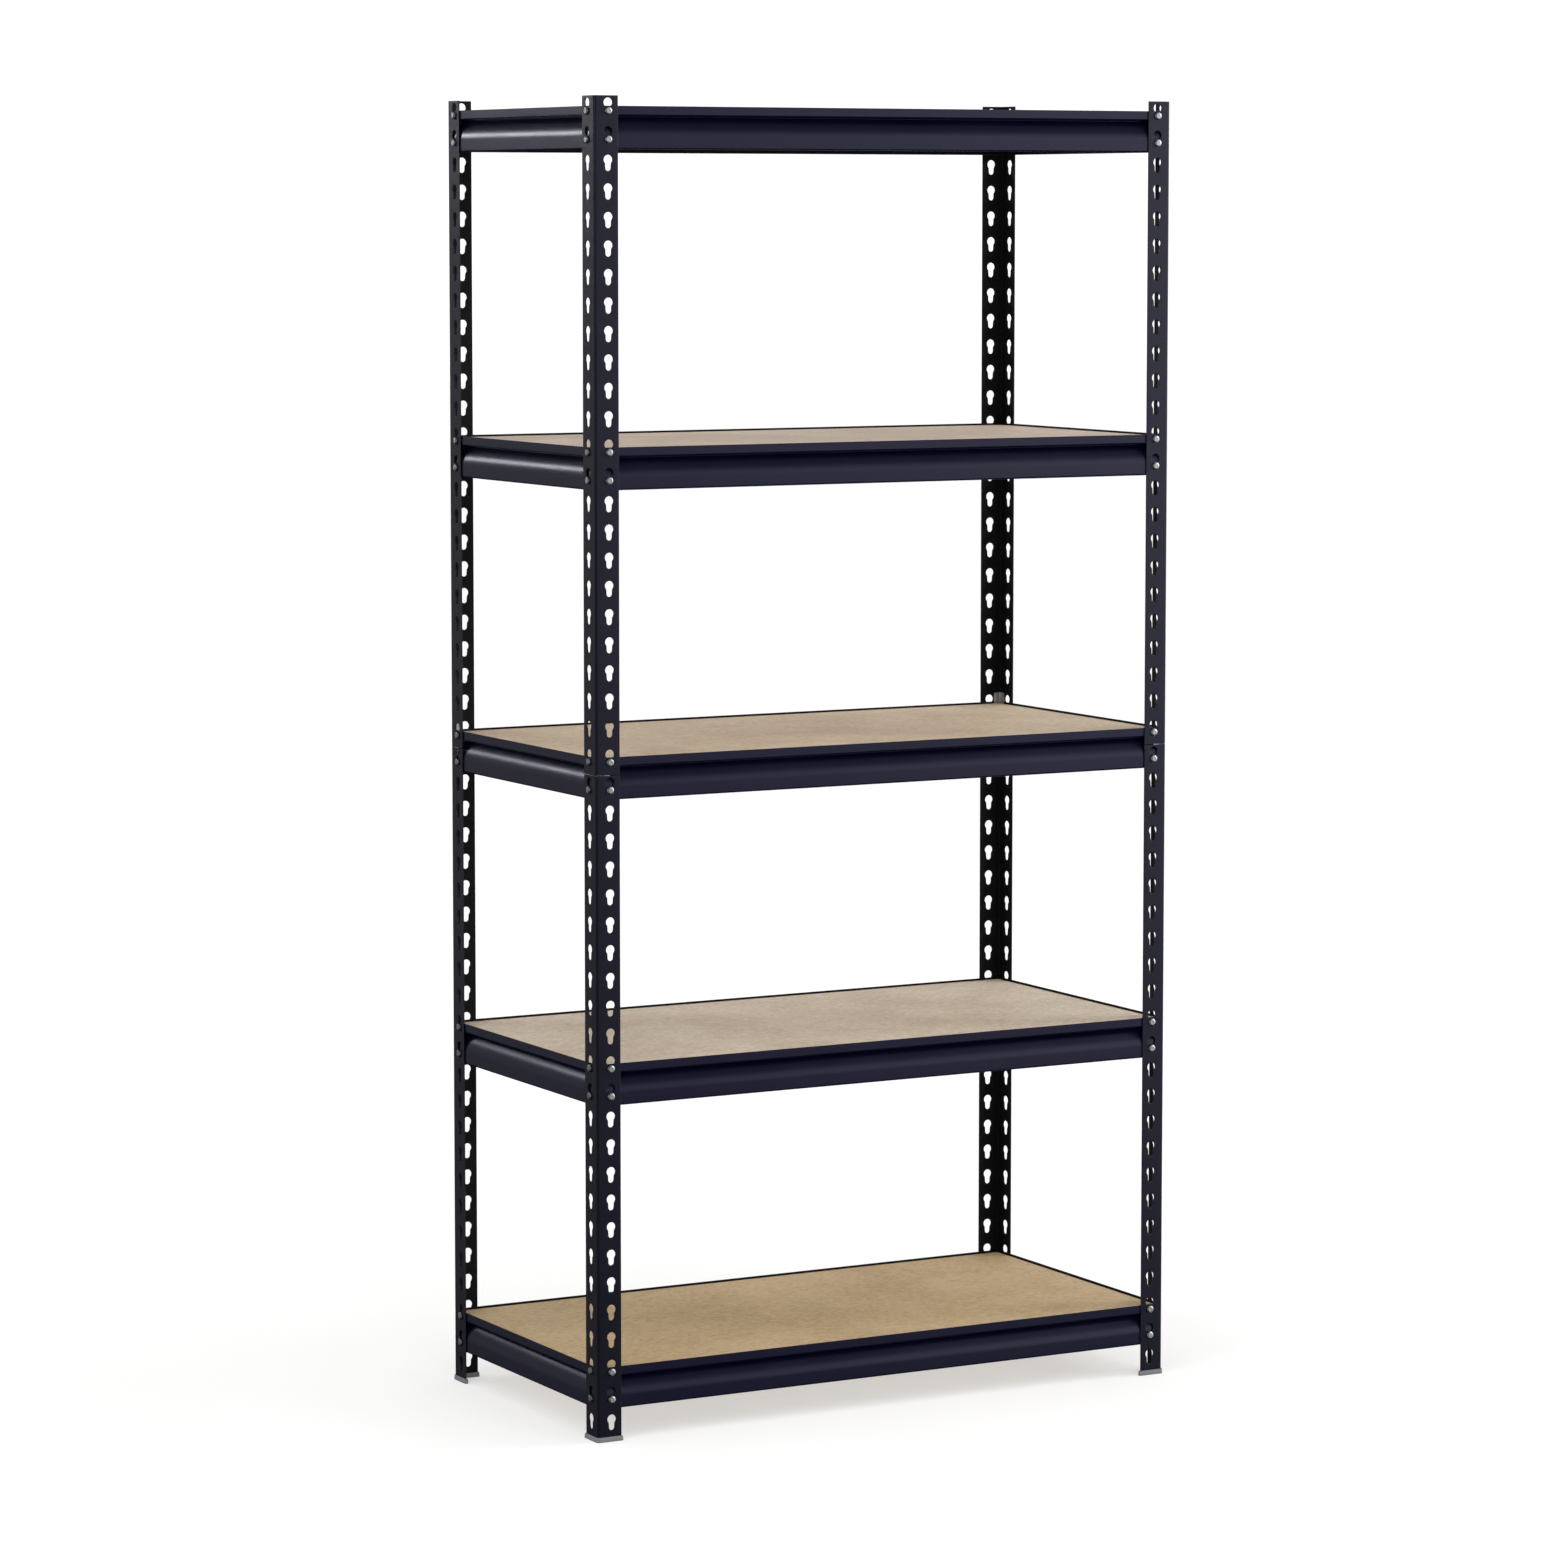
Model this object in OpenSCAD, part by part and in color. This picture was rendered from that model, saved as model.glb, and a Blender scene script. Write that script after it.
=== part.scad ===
// Boltless steel shelving: four keyholed corner posts, each in two halves on a coupler and
// a plastic foot, and five levels. A level is four folded steel beams that hang on shouldered
// rivets in the posts' keyholes, with a loose particle board lying on the beams' ledges.
// The origin is on the floor under the middle of the unit. +X runs to the right along the
// width, +Y to the back and +Z up.

/* [Overall size] */
// Width over the posts' outer faces
unit_w = 914.4; // [600:0.1:1400]
// Depth over the posts' outer faces
unit_d = 457.2; // [300:0.1:800]

/* [Posts] */
// Keyholes up each half of a post
holes_per_half = 24; // [18:1:30]
// Distance from one keyhole to the next
hole_pitch = 38.1; // [32:0.1:50]
// Width of a flange, from the post's corner to its free edge
flange_w = 36; // [30:0.5:50]
// Thickness of the posts' steel
post_t = 1.5; // [1:0.1:2.5]
// Inside radius of the bend down a post's corner
post_bend_r = 1.5; // [1:0.1:3]
// Distance from a post's corner to the middle of its keyholes
hole_inset = 21; // [20:0.5:24]
// Drop from a post's top edge to the middle of its first keyhole's round end
first_hole_drop = 9.5; // [8:0.1:14]

/* [Keyholes] */
// Diameter of the round end, which lets a rivet's head through
key_round_d = 13; // [11:0.1:16]
// Width of the seat, which holds a rivet's shank
key_seat_w = 8.3; // [6:0.1:10]
// Drop from the middle of the round end to the middle of the seat
key_drop = 11; // [9:0.1:14]
// How much wider the throat is at the round end than at the seat
key_flare = 0.9; // [0:0.1:2]

/* [Beams] */
// Thickness of the beams' steel
beam_t = 1.2; // [0.8:0.1:2]
// Inside radius of the beams' tight folds
beam_bend_r = 1.2; // [0.6:0.1:2]
// Height of the lip that stands around the board, down to the ledge's underside
lip_h = 13.4; // [12.5:0.1:18]
// Depth of the ledge that carries the board, from the lip's outer face
ledge_w = 12; // [10:0.1:15]
// Straight stretch of the web that slopes from the ledge back out to the lower band
web_run = 6; // [0:0.5:12]
// Height from the middle of the lower rivets down to the beam's lower edge
band_below = 13.2; // [8:0.1:18]
// Depth of the hem turned in along the lower edge
hem_w = 6; // [4:0.1:10]
// Length of beam past the middle of its end rivets
rivet_to_end = 6.5; // [5:0.1:7.5]

/* [Rivets] */
// Gap around a rivet's head as it goes through the round end
head_gap = 1; // [0.5:0.05:1.5]
// Gap around a rivet's shank in the seat
shank_gap = 0.65; // [0.3:0.05:1]
// Height of a rivet's head
head_h = 2.6; // [2:0.1:4]
// Height of the head's straight rim under its dome
head_rim = 0.8; // [0.4:0.1:1.5]
// Diameter of the flat on top of the head
head_flat_d = 5; // [2:0.1:6]
// Diameter of the neck that is clinched through the beam
neck_d = 5.2; // [4:0.1:6]
// Diameter of the tail that is spread inside the beam
tail_d = 7; // [6.4:0.1:10]
// Thickness of that tail
tail_h = 1; // [0.6:0.1:2]

/* [Couplers] */
// Height of the coupler plate, half of it in each half of the post
coupler_h = 76; // [50:1:120]
// Thickness of the coupler plate
coupler_t = 1.5; // [1:0.1:2]
// Thickness of the spacer tab that the two halves of a post meet on
tab_t = 1; // [0.6:0.1:2]
// Length of the spacer tab along each flange, from the post's corner
tab_w = 21; // [16:0.5:28]

/* [Feet] */
// Thickness of the foot under the post
foot_base = 2.4; // [1.5:0.1:5]
// Height of the foot's walls around the post
foot_grip = 4.6; // [3:0.1:9]
// Thickness of the foot's walls
foot_wall = 1.8; // [1.2:0.1:3]

/* [Deck boards] */
// Thickness of a board
board_t = 9.5; // [6:0.1:11]
// Radius of a board's corners
board_corner_r = 3; // [0:0.5:8]

/* [Levels] */
// Keyhole, counted up from the floor, that holds the lowest level's lower rivets
bottom_hole = 2; // [1:1:4]
// Keyholes from the middle level to the one above it and to the one below it
level_step = 11; // [6:1:13]

/* [Clearances] */
// Gap between a post's inner face and a beam, and between its outer face and a rivet's head
hang_gap = 0.3; // [0.2:0.05:0.6]
// Gap between a coupler and the flanges around it
coupler_gap = 0.1; // [0.05:0.05:0.3]
// Gap between a coupler's free edge and a beam's end
coupler_end_gap = 1; // [0.5:0.1:2]
// Gap between two beams where their ledges are mitred at a corner
mitre_gap = 2; // [1:0.1:4]
// Flat height of the lower band above the lower rivets' tails
band_margin = 0.1; // [0:0.1:2]
// Gap around a rivet's neck in the beam
neck_gap = 0.05; // [0:0.01:0.1]
// Gap between a board's edge and the fold under the lips or the couplers
board_gap = 0.9; // [0.5:0.1:2]
// Gap between a foot and the post in it
foot_gap = 0.1; // [0.05:0.05:0.3]

/* [Hidden] */
$fn = 48;
// Largest turn from one point to the next round a fold
fold_step = 10;
// How far a cutting shape reaches past the steel
past = 1;

steel = "#262530";
zinc = "#c6cacf";
plastic = "#6d7074";
particle_board = "#c9b79b";

// Heights of the posts' halves and of what is measured from them
holes = 2 * holes_per_half;
half_h = holes_per_half * hole_pitch - tab_t / 2;
joint_z = foot_base + half_h;
post_top = foot_base + 2 * half_h + tab_t;

// Where the pieces lie in from the posts' outer faces
beam_inset = post_t + hang_gap;
beam_end = hole_inset - rivet_to_end;
coupler_inset = post_t + coupler_gap;
coupler_leg = beam_end - coupler_end_gap;
board_inset = max(beam_inset + beam_t + beam_bend_r, coupler_inset + coupler_t) + board_gap;

// The beam's heights, down from its top edge
rivet_drop = lip_h / 2;
low_rivet_drop = rivet_drop + hole_pitch;
band_drop = low_rivet_drop - tail_d / 2 - band_margin;
beam_h = low_rivet_drop + band_below;

// The beam's folds. The web's straight stretch touches two arcs: the tight fold at the back of
// the ledge, centred fold_in from the outer face, and the wide sweep that ends at the band,
// fold_to_band lower. The stretch and the sum of the arcs' radii make a right angle between
// the two centres, which gives the sweep's radius and its turn.
tight_r = beam_bend_r + beam_t;
fold_in = ledge_w - beam_t - beam_bend_r;
fold_to_band = band_drop - lip_h - beam_bend_r;
sweep_r = (fold_in * fold_in + fold_to_band * fold_to_band
    - beam_bend_r * beam_bend_r - web_run * web_run) / (2 * (fold_in + beam_bend_r));
sweep_turn = atan2(fold_to_band, sweep_r - fold_in) - atan2(web_run, sweep_r + beam_bend_r);

head_d = key_round_d - 2 * head_gap;
shank_d = key_seat_w - 2 * shank_gap;

// The keyholes that hold each level's lower rivets, lowest level first
level_holes = [
    bottom_hole,
    holes_per_half - level_step,
    holes_per_half,
    holes_per_half + level_step,
    holes - 1
];
levels = [1 : len(level_holes)];

// The corners: name, the side that is its left and the quarter turns that bring it there
corners = [
    ["front_left", -unit_w / 2, -unit_d / 2, 0],
    ["front_right", unit_w / 2, -unit_d / 2, 1],
    ["back_right", unit_w / 2, unit_d / 2, 2],
    ["back_left", -unit_w / 2, unit_d / 2, 3]
];
// The sides: name, length along the side, distance from the middle, quarter turns
sides = [
    ["front", unit_w, unit_d / 2, 0],
    ["right", unit_d, unit_w / 2, 1],
    ["back", unit_w, unit_d / 2, 2],
    ["left", unit_d, unit_w / 2, 3]
];

// Height of the middle of a keyhole's round end, keyholes counted up from the floor
function hole_z(hole) = post_top - first_hole_drop - (holes - hole) * hole_pitch;
// Height of a level's top edge: its lower rivets rest in the seats of its keyhole
function level_z(level) = hole_z(level_holes[level - 1]) - key_drop + low_rivet_drop;

function ray(angle) = [cos(angle), sin(angle)];

// Points along the outer face of a folded sheet, each with the way it heads. A fold is
// [straight run, turn, radius of the outer face], and a positive turn is to the left.
function face(folds, at, heading, i = 0) =
    i == len(folds) ? [] :
    let (
        run = folds[i][0],
        turn = folds[i][1],
        r = folds[i][2],
        start = at + run * ray(heading),
        side = sign(turn),
        centre = start + r * ray(heading + 90 * side),
        parts = max(1, ceil(abs(turn) / fold_step)),
        arc = [for (k = [0 : parts])
            let (a = heading + turn * k / parts)
            [centre + r * ray(a - 90 * side), a]]
    )
    turn == 0 ? [[start, heading]]
    : concat(arc, face(folds, arc[parts][0], heading + turn, i + 1));

// A sheet of thickness t, folded to the left of its outer face's line
module folded_sheet(folds, at, heading, t) {
    line = concat([[at, heading]], face(folds, at, heading));
    inner = [for (k = [len(line) - 1 : -1 : 0]) line[k][0] + t * ray(line[k][1] + 90)];
    polygon(concat([for (p = line) p[0]], inner));
}

// An angle section with its corner at the origin, set in by inset, its legs reaching to
// leg from the origin along X and Y, with inside radius r
module angle_section(leg, t, r, inset = 0) {
    run = leg - inset - t - r;
    folded_sheet([[run, 90, t + r], [run, 0, 0]], [inset, leg], -90, t);
}

// Moves a piece that is drawn at a post's corner, with its flanges along +X and +Y
module at_corner(corner) {
    translate([corner[1], corner[2]])
        rotate(90 * corner[3])
            children();
}

// Moves a piece that is drawn along X, its outer face towards -Y at Y = 0
module at_side(side) {
    rotate(90 * side[3])
        translate([0, -side[2]])
            children();
}

// Places a child in both flanges of a post
module both_flanges() {
    children();
    mirror([1, -1, 0])
        children();
}

// A keyhole's outline, its round end's middle at the origin
module keyhole() {
    seat = key_seat_w / 2;
    throat = seat + key_flare / 2;
    circle(d = key_round_d);
    translate([0, -key_drop])
        circle(d = key_seat_w);
    polygon([[-seat, -key_drop], [seat, -key_drop], [throat, 0], [-throat, 0]]);
}

// Half a post from height z: an angle section with a row of keyholes up both flanges
module half_post(z, first_hole) {
    difference() {
        translate([0, 0, z])
            linear_extrude(half_h)
                angle_section(flange_w, post_t, post_bend_r);
        both_flanges()
            for (hole = [first_hole : first_hole + holes_per_half - 1])
                translate([hole_inset, post_t + past, hole_z(hole)])
                    rotate([90, 0, 0])
                        linear_extrude(post_t + 2 * past)
                            keyhole();
    }
}

module post_upper(corner) {
    color(steel)
        at_corner(corner)
            half_post(joint_z + tab_t, holes_per_half + 1);
}

module post_lower(corner) {
    color(steel)
        at_corner(corner)
            half_post(foot_base, 1);
}

// The plate nests in the corner of both halves, and its tab lies between their ends
module coupler(corner) {
    color(zinc)
        at_corner(corner) {
            translate([0, 0, joint_z + (tab_t - coupler_h) / 2])
                linear_extrude(coupler_h)
                    angle_section(coupler_leg, coupler_t, post_bend_r, coupler_inset);
            translate([0, 0, joint_z])
                linear_extrude(tab_t) {
                    angle_section(tab_w, post_t, post_bend_r);
                    angle_section(coupler_leg, coupler_inset + coupler_t, post_bend_r);
                }
        }
}

// A cap under the post with a wall on each side of its steel
module foot(corner) {
    out = foot_wall + foot_gap;
    slot_t = post_t + 2 * foot_gap;
    wall_t = slot_t + 2 * foot_wall;
    color(plastic)
        at_corner(corner)
            difference() {
                linear_extrude(foot_base + foot_grip)
                    angle_section(flange_w + out, wall_t, foot_wall / 2, -out);
                translate([0, 0, foot_base])
                    linear_extrude(foot_grip + past)
                        angle_section(flange_w + foot_gap, slot_t, post_bend_r - foot_gap, -foot_gap);
            }
}

// The beam's section, X in from its outer face and Y up from its top edge: the lip, the
// ledge, the web that slopes out into the sweep, the lower band, and the hem
module beam_section() {
    folded_sheet([
        [lip_h - tight_r, 90, tight_r],
        [fold_in - tight_r, -90 - sweep_turn, beam_bend_r],
        [web_run, sweep_turn, sweep_r],
        [beam_h - band_drop - tight_r, 90, tight_r],
        [hem_w - tight_r, 0, 0]
    ], [0, 0], -90, beam_t);
}

// What is beyond the mitre at a beam's right-hand end
module mitre(side) {
    translate([side[1] / 2 - mitre_gap / sqrt(2), 0, -beam_h - past])
        rotate(45)
            cube([side[1], side[1], beam_h + 2 * past]);
}

// The places of a beam's four rivets, their axes pointing out of the unit
module at_rivets(side) {
    for (end = [-1, 1])
        for (drop = [rivet_drop, low_rivet_drop])
            translate([end * (side[1] / 2 - hole_inset), 0, -drop])
                rotate([90, 0, 0])
                    children();
}

module beam(side, level) {
    length = side[1] - 2 * beam_end;
    color(steel)
        translate([0, 0, level_z(level)])
            at_side(side)
                difference() {
                    translate([-length / 2, beam_inset, 0])
                        rotate([90, 0, 90])
                            linear_extrude(length)
                                beam_section();
                    at_rivets(side)
                        translate([0, 0, -beam_inset - beam_t - past])
                            cylinder(d = neck_d + 2 * neck_gap, h = beam_t + 2 * past);
                    mitre(side);
                    mirror([1, 0, 0])
                        mitre(side);
                }
}

// A shouldered rivet, its axis along Z and the post's outer face at Z = 0: the spread tail,
// the neck through the beam, the shank in the keyhole and the domed head
module rivet() {
    rim_z = hang_gap + head_rim;
    dome_w = (head_d - head_flat_d) / 2;
    dome_h = head_h - head_rim;
    dome = [for (a = [0 : 15 : 90])
        [head_flat_d / 2 + dome_w * cos(a), rim_z + dome_h * sin(a)]];
    rotate_extrude()
        polygon(concat([
            [0, -beam_inset - beam_t - tail_h],
            [tail_d / 2, -beam_inset - beam_t - tail_h],
            [tail_d / 2, -beam_inset - beam_t],
            [neck_d / 2, -beam_inset - beam_t],
            [neck_d / 2, -beam_inset],
            [shank_d / 2, -beam_inset],
            [shank_d / 2, hang_gap],
            [head_d / 2, hang_gap]
        ], dome, [[0, hang_gap + head_h]]));
}

module rivets(level) {
    color(zinc)
        translate([0, 0, level_z(level)])
            for (side = sides)
                at_side(side)
                    at_rivets(side)
                        rivet();
}

// A board lies on the ledges, inside the lips
module deck_board(level) {
    w = unit_w - 2 * board_inset - 2 * board_corner_r;
    d = unit_d - 2 * board_inset - 2 * board_corner_r;
    rounding = [for (quarter = [0 : 3])
        for (a = [0 : 15 : 90])
            [w / 2 * (quarter % 3 == 0 ? 1 : -1), d / 2 * (quarter < 2 ? 1 : -1)]
            + board_corner_r * ray(90 * quarter + a)];
    color(particle_board)
        translate([0, 0, level_z(level) - lip_h + beam_t])
            linear_extrude(board_t)
                polygon(rounding);
}

for (corner = corners) {
    post_upper(corner);
    post_lower(corner);
    coupler(corner);
    foot(corner);
}
for (level = levels) {
    for (side = sides)
        beam(side, level);
    rivets(level);
    deck_board(level);
}
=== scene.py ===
# %% [markdown]
# # Boltless steel shelving
# Four corner posts of punched steel angle carry five levels. A level is four folded steel beams,
# hung in the posts' keyholes by shouldered rivets, with a loose particle board lying in them.
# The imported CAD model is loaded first. It says where every piece is, and each piece made here
# takes the place of one CAD node and moves with that node's body.

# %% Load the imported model
import math

import bmesh
import bpy
import numpy as np
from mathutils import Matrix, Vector


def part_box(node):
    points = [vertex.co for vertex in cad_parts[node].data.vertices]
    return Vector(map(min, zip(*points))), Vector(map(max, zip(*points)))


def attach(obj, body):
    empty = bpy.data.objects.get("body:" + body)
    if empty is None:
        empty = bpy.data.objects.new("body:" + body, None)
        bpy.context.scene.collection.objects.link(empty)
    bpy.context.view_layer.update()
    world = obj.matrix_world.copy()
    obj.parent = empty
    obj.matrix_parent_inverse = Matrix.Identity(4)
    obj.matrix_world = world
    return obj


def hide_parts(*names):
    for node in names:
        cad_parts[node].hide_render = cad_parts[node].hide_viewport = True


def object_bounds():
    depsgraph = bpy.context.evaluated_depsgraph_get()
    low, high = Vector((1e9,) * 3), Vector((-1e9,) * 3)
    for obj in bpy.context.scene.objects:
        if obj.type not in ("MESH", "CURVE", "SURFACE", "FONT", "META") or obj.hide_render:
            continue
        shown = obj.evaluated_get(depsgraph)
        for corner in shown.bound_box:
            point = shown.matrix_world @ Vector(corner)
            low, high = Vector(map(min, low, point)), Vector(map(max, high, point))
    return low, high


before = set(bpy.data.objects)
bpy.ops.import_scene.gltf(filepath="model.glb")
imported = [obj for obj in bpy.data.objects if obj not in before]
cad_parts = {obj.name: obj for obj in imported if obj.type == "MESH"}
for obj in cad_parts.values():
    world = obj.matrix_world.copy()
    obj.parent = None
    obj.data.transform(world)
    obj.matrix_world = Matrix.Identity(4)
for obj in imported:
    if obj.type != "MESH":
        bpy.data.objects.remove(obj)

cad_low, cad_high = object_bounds()
print("CAD box in metres:", [round(c, 4) for c in (*cad_low, *cad_high)])

# %% Sizes read from the model
MM = 0.001
SIDES = ("front", "right", "back", "left")
CORNERS = ("front_left", "front_right", "back_right", "back_left")
LEVELS = (1, 2, 3, 4, 5)
ARC_STEP = 15  # degrees between the points of a full circle
CUT_EDGE = 0.25 * MM  # radius left on sheared and punched edges
MERGE_WITHIN = 0.002 * MM

post_low, post_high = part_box("post_lower_front_left"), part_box("post_upper_back_right")
width = 2 * post_high[1].x
depth = 2 * post_high[1].y
post_foot, post_top = post_low[0].z, post_high[1].z
joint_low, joint_high = post_low[1].z, post_high[0].z
level_top = {k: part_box(f"beam_front_level_{k}")[1].z for k in LEVELS}
side_length = dict(zip(SIDES, (width, depth, width, depth)))
side_reach = dict(zip(SIDES, (depth / 2, width / 2, depth / 2, width / 2)))
print(f"unit {width:.4f} by {depth:.4f} m, posts {post_foot:.4f} to {post_top:.4f} m")
print("levels' upper edges:", [round(z, 4) for z in level_top.values()])

# %% [markdown]
# ## From arrays to a mesh
# Every shape below is a grid: rows along a profile, columns along a path. Neighbouring grid
# points make the faces, so one small table of corner numbers serves every piece. Grids that
# share an edge are merged there, which closes the seam between them.

# %% Faces of a grid
def grid_faces(rows, columns, closed=False):
    """Quads between neighbouring points of a grid that is stored row by row. Point (i, j) has
    the number i * columns + j, and a closed grid joins its last column to its first."""
    i, j = np.meshgrid(np.arange(rows - 1), np.arange(columns if closed else columns - 1),
                       indexing="ij")
    j_next = (j + 1) % columns
    quads = [i * columns + j, i * columns + j_next, (i + 1) * columns + j_next,
             (i + 1) * columns + j]
    return np.stack(quads, axis=-1).reshape(-1, 4)


print("a 3 by 3 grid has", len(grid_faces(3, 3)), "faces")

# %% A mesh piece that stands for a CAD node
def make_piece(node, parts, body, materials):
    """Joins parts, each (points, faces) with faces as lists of point numbers, into one object at
    the origin. The points are in metres in the model's frame, so nothing is moved afterwards."""
    points, faces, count = [], [], 0
    for part_points, part_faces in parts:
        points.append(np.asarray(part_points, float).reshape(-1, 3))
        faces += [(np.asarray(face) + count).tolist() for face in part_faces]
        count += len(points[-1])
    mesh = bpy.data.meshes.new("shelf_" + node)
    mesh.from_pydata(np.concatenate(points).tolist(), [], faces)
    merged = bmesh.new()
    merged.from_mesh(mesh)
    bmesh.ops.remove_doubles(merged, verts=merged.verts, dist=MERGE_WITHIN)
    merged.to_mesh(mesh)
    merged.free()
    mesh.polygons.foreach_set("use_smooth", np.ones(len(mesh.polygons), bool))
    piece = bpy.data.objects.new("shelf_" + node, mesh)
    bpy.context.scene.collection.objects.link(piece)
    for material in materials:
        mesh.materials.append(material)
    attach(piece, body)
    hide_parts(node)
    return piece


print("pieces are named after the node they stand for")

# %% [markdown]
# ## Sheet thickness and softened edges
# Sheet steel is drawn as its outer face alone. Solidify then gives it its thickness towards the
# inside, which keeps the bends' inner and outer radii right. Bevel takes the sharpness off each
# cut edge, as shearing and coating do, and its faces get a second material for the worn edge.
# Weighted normals keep the broad faces flat, so that only bends and edges shade round.

# %% Finish a sheet or a solid
SHARP_FROM = math.radians(35)


def flatten_faces(piece, weight=100):
    """Weighted normals by face area, so that broad faces shade flat."""
    flat = piece.modifiers.new("flat faces", "WEIGHTED_NORMAL")
    flat.mode, flat.weight = "FACE_AREA", weight
    return flat


def finish_edges(piece, radius, sheet=0.0, segments=2, edge_material=0, inner_material=0):
    """Adds the thickness sheet, if there is one, then edges of this radius, in metres."""
    if sheet:
        wall = piece.modifiers.new("sheet thickness", "SOLIDIFY")
        wall.thickness, wall.offset = sheet, -1.0
        wall.use_even_offset = wall.use_quality_normals = True
        # The inner shell takes the material inner_material places on, which is the near-black
        # painted shade inside the folds.
        wall.material_offset = inner_material
    edge = piece.modifiers.new("softened edges", "BEVEL")
    edge.width, edge.segments = radius, segments
    edge.limit_method, edge.angle_limit = "ANGLE", SHARP_FROM
    edge.material = edge_material
    flatten_faces(piece)


print("edges of more than", round(math.degrees(SHARP_FROM)), "degrees are softened")

# %% [markdown]
# ## Colours and nodes
# Colours are picked as sRGB hex values and the shader works in linear light, so one function
# turns them. One more adds a node with its settings and its links.

# %% Linear colours
def linear(srgb_hex):
    """A hex colour such as #808080 as linear red, green, blue and alpha: below 0.04045 the
    sRGB curve is a line, above it a power of 2.4."""
    c = np.array([int(srgb_hex[i:i + 2], 16) for i in (1, 3, 5)]) / 255
    light = np.where(c <= 0.04045, c / 12.92, ((c + 0.055) / 1.055) ** 2.4)
    return (*light.tolist(), 1.0)


print("#808080 in linear light:", round(linear("#808080")[0], 4))

# %% A node with its settings and links
def add_node(material, kind, inputs=None, **settings):
    """Adds a node. settings are its own choices, and inputs maps a socket's name or number to a
    value, or to another node's output, which is then linked."""
    made = material.node_tree.nodes.new(kind)
    for name, value in settings.items():
        setattr(made, name, value)
    for socket, value in (inputs or {}).items():
        if isinstance(value, bpy.types.NodeSocket):
            material.node_tree.links.new(value, made.inputs[socket])
        else:
            made.inputs[socket].default_value = value
    return made


def new_material(name):
    """An empty node material and the output of its Object coordinates, which are metres."""
    material = bpy.data.materials.new(name)
    material.use_nodes = True
    material.node_tree.nodes.clear()
    place = add_node(material, "ShaderNodeTexCoord").outputs["Object"]
    return material, place


def show(material, shader):
    """Links the shader to the material's output and says so."""
    add_node(material, "ShaderNodeOutputMaterial", {"Surface": shader.outputs[0]})
    print("material:", material.name)
    return material


def between(material, share, low, high):
    """The output of a Mix node that goes from colour low to colour high as share rises."""
    mixed = add_node(material, "ShaderNodeMix", {0: share, 6: low, 7: high}, data_type="RGBA")
    return mixed.outputs[2]


def noise(material, place, scale, detail, roughness=0.5):
    """The output of a Noise node. scale is in waves a metre, so 500 gives patches of 2 mm."""
    made = add_node(material, "ShaderNodeTexNoise", {
        "Vector": place, "Scale": scale, "Detail": detail, "Roughness": roughness})
    return made.outputs[0]


def remap(material, value, source, result, curve="LINEAR"):
    """The output of a Map Range node that takes the range source to the range result."""
    made = add_node(material, "ShaderNodeMapRange", {
        "Value": value, "From Min": source[0], "From Max": source[1],
        "To Min": result[0], "To Max": result[1]}, interpolation_type=curve)
    return made.outputs[0]


def calculate(material, operation, *values, clamp=False):
    """The output of a Math node."""
    made = add_node(material, "ShaderNodeMath", dict(enumerate(values)), operation=operation,
                    use_clamp=clamp)
    return made.outputs[0]


def relief(material, height, strength, distance):
    """The normal from a Bump node whose full height is distance metres."""
    made = add_node(material, "ShaderNodeBump", {
        "Strength": strength, "Distance": distance, "Height": height})
    return made.outputs[0]


print("nodes: noise, remap, calculate, relief and between give one output each")

# %% [markdown]
# ## Powder-coated steel
# Posts and beams are cold-rolled steel, sprayed with blue-black polyester powder and baked. The
# melt levels out to a satin skin with a faint orange peel, its waves 2 to 3 mm across, and a
# slightly uneven depth of colour. It is a plastic film, so it isn't metallic, and its IOR is 1.5.
# A bump from noise gives the peel, and slower noise drifts the colour and the gloss.

# %% The coat on broad faces
def powder_coat(name, deep, light, rough_low, rough_high, rub):
    """Satin powder coat between two colours. rub is the share of noise at which rubbed spots,
    paler and duller, begin."""
    material, place = new_material(name)
    drift = noise(material, place, 9.0, 4.0, 0.55)
    grain = noise(material, place, 320.0, 2.0)
    tone = calculate(material, "MULTIPLY_ADD", drift, 0.6, 0.2)
    tone = calculate(material, "MULTIPLY_ADD", grain, 0.35, tone)
    coat = between(material, tone, linear(deep), linear(light))
    rubbed = noise(material, place, 60.0, 8.0, 0.7)
    scuff = remap(material, rubbed, (rub, rub + 0.06), (0.0, 0.35))
    colour = between(material, scuff, coat, linear("#3d3d48"))
    gloss = remap(material, drift, (0.3, 0.7), (rough_low, rough_high))
    rough = calculate(material, "MULTIPLY_ADD", scuff, 0.5, gloss)
    peel = relief(material, noise(material, place, 420.0, 1.0, 0.4), 0.05, 0.15 * MM)
    shader = add_node(material, "ShaderNodeBsdfPrincipled", {
        "Base Color": colour, "Roughness": rough, "IOR": 1.5,
        "Specular Tint": linear("#dddcff"), "Normal": peel})
    return show(material, shader)


coat_on_posts = powder_coat("powder-coated steel, posts", "#030309", "#090916", 0.28, 0.33, 0.70)
coat_on_beams = powder_coat("powder-coated steel, beams", "#030314", "#080822", 0.27, 0.31, 0.71)

# %% [markdown]
# ## The coat along cut edges
# Powder pulls back from a sharp edge as it melts, so the coat is thin there and a finger's rub
# polishes it. The edge reads as a fine paler line. In a few places it is through to the steel,
# which is a metal and keeps the default IOR. One noise decides how far along that has gone.

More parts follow.
